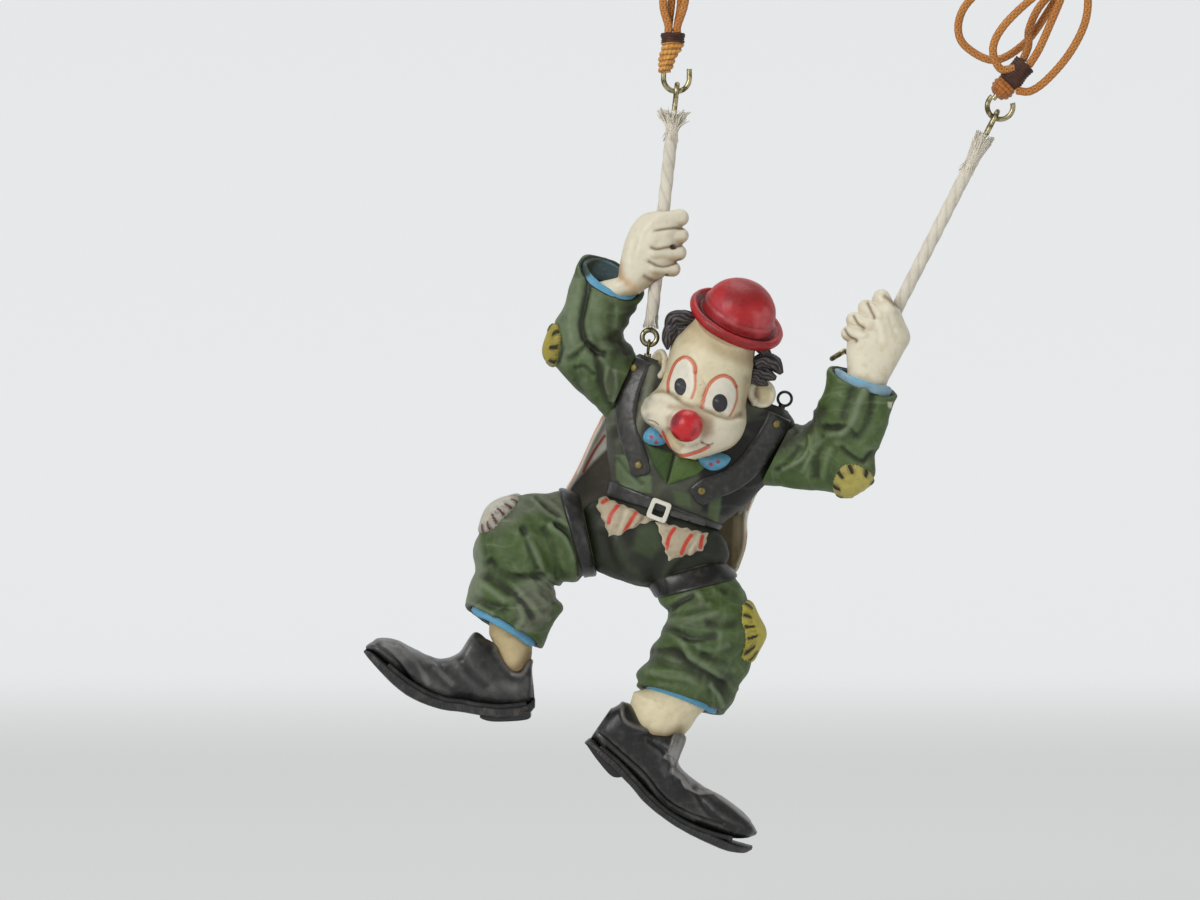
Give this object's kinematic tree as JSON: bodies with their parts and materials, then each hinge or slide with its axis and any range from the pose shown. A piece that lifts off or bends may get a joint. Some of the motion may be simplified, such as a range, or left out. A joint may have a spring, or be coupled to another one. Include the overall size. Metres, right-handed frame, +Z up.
{
  "type": "hanging clown toy on parachute lines",
  "caption": "Painted clown figure in a bowler hat that hangs by both fists from cotton ropes hooked to bundles of parachute lines, a free eye on its shoulder.",
  "frame": {"origin": "middle of the knot that the right-hand lines hang from, straight above the right open hook", "axes": "+Z up, +X to the viewer's right along the two hooks (the figure's left side), +Y away from the viewer, so the figure faces -Y"},
  "size_m": [0.305, 0.0838, 0.382],
  "materials": {
    "silky_line": "silky golden orange braid",
    "line_knot": "same braid, tied",
    "brown_binding": "waxed brown binding",
    "wrapped_line": "braid wrapped round the wire",
    "antique_brass": "dark antique brass wire",
    "black_wire": "black screw eye",
    "cotton_rope": "laid cotton rope, slightly soiled",
    "green_paint": "painted resin, dark wash, semi-gloss",
    "light_green_paint": "painted resin, semi-gloss",
    "harness_paint": "charcoal paint with grey edges",
    "buckle_paint": "cream painted buckle",
    "gold_paint": "olive gold rivets",
    "shirt_paint": "cream paint with red stripes and brown wash",
    "skin_paint": "cream paint, brown wash in the creases",
    "shin_paint": "ochre cream paint",
    "blue_paint": "light blue paint",
    "patch_paint": "olive yellow paint, black stitches",
    "shoe_paint": "black paint, grey dry brush",
    "sole_paint": "black paint, grey dry brush",
    "hair_paint": "black paint",
    "red_paint": "satin red paint",
    "hat_paint": "satin red paint",
    "pupil_paint": "dark grey paint"
  },
  "bodies": {
    "right_lines": {"right_line_knot": "line_knot", "right_line_1": "silky_line", "right_line_2": "silky_line", "right_line_3": "silky_line", "right_line_4": "silky_line", "right_whipping": "brown_binding", "right_cord_wrap": "wrapped_line", "right_open_hook": "antique_brass"},
    "right_rope": {"right_rope_eye": "antique_brass", "right_rope_collar": "cotton_rope", "right_rope": "cotton_rope", "right_rope_end": "cotton_rope", "right_lower_hook": "antique_brass"},
    "figure": {"jacket": "green_paint", "lapels": "light_green_paint", "bow_tie": "blue_paint", "harness": "harness_paint", "rivets": "gold_paint", "belt": "harness_paint", "buckle": "buckle_paint", "shirt_tails": "shirt_paint", "shirt_back": "shirt_paint", "shoulder_eyes": "black_wire", "trouser_seat": "green_paint", "right_trouser_leg": "green_paint", "left_trouser_leg": "green_paint", "thigh_straps": "harness_paint", "knee_patches": "patch_paint", "hem_linings": "blue_paint", "shins": "shin_paint", "right_shoe": "shoe_paint", "right_sole": "sole_paint", "left_shoe": "shoe_paint", "left_sole": "sole_paint", "right_sleeve": "green_paint", "left_sleeve": "green_paint", "elbow_patches": "patch_paint", "cuffs": "blue_paint", "right_hand": "skin_paint", "left_hand": "skin_paint", "head": "skin_paint", "ears": "skin_paint", "nose": "red_paint", "pupils": "pupil_paint", "hair": "hair_paint", "hat": "hat_paint"},
    "left_rope": {"left_rope_eye": "antique_brass", "left_rope_collar": "cotton_rope", "left_rope": "cotton_rope", "left_rope_end": "cotton_rope", "left_lower_hook": "antique_brass"},
    "left_lines": {"left_line_knot": "line_knot", "left_line_1": "silky_line", "left_line_2": "silky_line", "left_line_3": "silky_line", "left_line_4": "silky_line", "left_line_5": "silky_line", "left_whipping": "brown_binding", "left_cord_wrap": "wrapped_line", "left_open_hook": "antique_brass"}
  },
  "joints": [
    {"name": "figure_swing", "type": "hinge", "parent": "right_lines", "child": "right_rope", "pos_m": [-0.0015, 0, -0.0594], "axis": [0.9966, 0, -0.0829], "range_deg": [-45, 45]},
    {"name": "shoulder_lift", "type": "slide", "parent": "right_rope", "child": "figure", "axis": [0.1085, 0, 0.9941], "range_m": [0, 0.0022]},
    {"name": "left_rope_draw", "type": "slide", "parent": "figure", "child": "left_rope", "axis": [-0.4546, 0, -0.8907], "range_m": [0, 0.014]},
    {"name": "left_hook_swing", "type": "hinge", "parent": "left_rope", "child": "left_lines", "pos_m": [0.132, 0, -0.0705], "axis": [0.9966, 0, -0.0829], "range_deg": [-45, 45]}
  ],
  "couplings": [
    {"joint": "left_hook_swing", "follows": "figure_swing", "ratio": -1}
  ]
}
